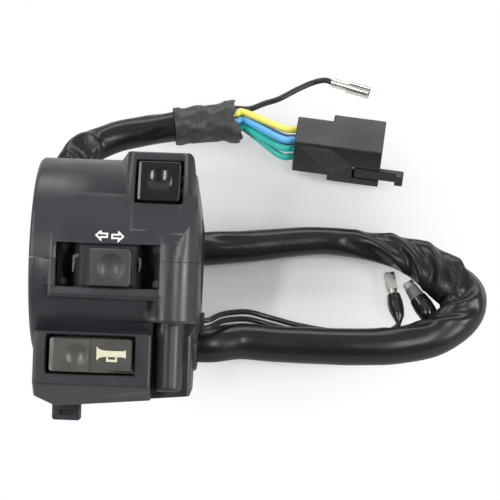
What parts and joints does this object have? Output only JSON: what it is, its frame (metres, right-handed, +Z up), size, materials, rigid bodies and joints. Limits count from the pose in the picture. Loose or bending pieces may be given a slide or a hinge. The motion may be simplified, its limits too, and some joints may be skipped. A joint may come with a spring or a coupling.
{
  "type": "motorcycle handlebar switch cluster",
  "caption": "Two-piece clamp case for a handlebar with turn slider, dimmer rocker and horn button, and a sleeved wiring harness with a latched connector and loose leads.",
  "frame": {"origin": "centre of the handlebar bore, at the middle of the case's length", "axes": "+X along the handlebar, towards the side where the harness leaves; +Z up from the table on which the cluster lies, 25 mm below the bore's axis; +Y towards the back of the table"},
  "size_m": [0.1171, 0.1135, 0.0543],
  "materials": {
    "case_black": "satin moulded black, fine grain",
    "zinc_steel": "zinc plated",
    "base_black": "glossy black moulding",
    "brass": "bright brass",
    "black_nylon": "black nylon",
    "knob_grey": "smoky dark grey, semi gloss",
    "spring_steel": "bright spring steel",
    "phenolic_brown": "brown insulating board",
    "rocker_gloss": "glossy black",
    "horn_cap": "dark olive grey, satin",
    "wire_black": "black wire cover",
    "rubber_black": "matt black rubber",
    "sleeve_pvc": "glossy soft black tube",
    "tape_pvc": "black tape",
    "wire_yellow": "yellow wire cover",
    "wire_sky": "sky blue wire cover",
    "wire_blue": "dark blue wire cover",
    "wire_green": "blue green wire cover",
    "wire_violet": "dark violet wire cover",
    "connector_black": "black nylon",
    "tinned": "tinned brass",
    "clear_pvc": "clear soft boot"
  },
  "bodies": {
    "case": {"upper_case": "case_black", "lower_case": "case_black", "clamp_screw_front": "zinc_steel", "clamp_screw_rear": "zinc_steel", "turn_base": "base_black", "turn_fasteners": "zinc_steel", "turn_contacts": "brass", "dimmer_base": "phenolic_brown", "dimmer_pin": "zinc_steel", "dimmer_contacts": "brass", "dimmer_detent_leaf": "spring_steel", "dimmer_screws": "zinc_steel", "horn_base": "phenolic_brown", "horn_pin": "zinc_steel", "horn_spring": "spring_steel", "horn_contact": "brass", "horn_screws": "zinc_steel", "inner_leads": "wire_black", "harness_grommet": "rubber_black", "harness_sleeve": "sleeve_pvc", "sleeve_tape": "tape_pvc", "wire_yellow": "wire_yellow", "wire_sky": "wire_sky", "wire_blue": "wire_blue", "wire_green_a": "wire_green", "wire_violet": "wire_violet", "wire_green_b": "wire_green", "connector_housing": "connector_black", "connector_pins": "tinned", "black_lead": "wire_black", "black_terminal": "tinned", "lead_grommet": "rubber_black", "thin_lead_a": "wire_black", "thin_lead_b": "wire_black", "thin_terminal_a": "tinned", "thin_terminal_b": "tinned", "boot_clear": "clear_pvc", "boot_black": "rubber_black"},
    "slider": {"turn_carriage": "black_nylon", "turn_blade": "brass", "turn_detent_clips": "spring_steel", "turn_cancel_spring": "spring_steel"},
    "knob": {"turn_knob": "knob_grey"},
    "rocker": {"dimmer_rocker": "rocker_gloss", "dimmer_tips": "brass"},
    "horn": {"horn_button": "horn_cap", "horn_tip": "brass"},
    "latch": {"connector_latch": "connector_black"}
  },
  "joints": [
    {"name": "turn_slide", "type": "slide", "parent": "case", "child": "slider", "axis": [1, 0, 0], "range_m": [-0.0036, 0.0036]},
    {"name": "cancel_press", "type": "slide", "parent": "slider", "child": "knob", "axis": [0, 0.5, -0.866], "range_m": [0, 0.0012], "stiffness_N_per_m": 400, "springref_m": -0.0012, "deforming": ["turn_cancel_spring"]},
    {"name": "dimmer_rock", "type": "hinge", "parent": "case", "child": "rocker", "pos_m": [0.009, 0.00798, 0.02011], "axis": [1, 0, 0], "range_deg": [-7, 0]},
    {"name": "horn_press", "type": "hinge", "parent": "case", "child": "horn", "pos_m": [0.00255, -0.02908, 0.00446], "axis": [0, -0.866, -0.5], "range_deg": [0, 6], "stiffness_Nm_per_rad": 0.2, "springref_deg": -5.73, "deforming": ["horn_spring"]},
    {"name": "latch_flex", "type": "hinge", "parent": "case", "child": "latch", "pos_m": [0.05936, 0.04041, -0.01829], "axis": [0.0197, 0.1725, 0.9848], "range_deg": [0, 5], "stiffness_Nm_per_rad": 0.05, "springref_deg": -1.15}
  ]
}
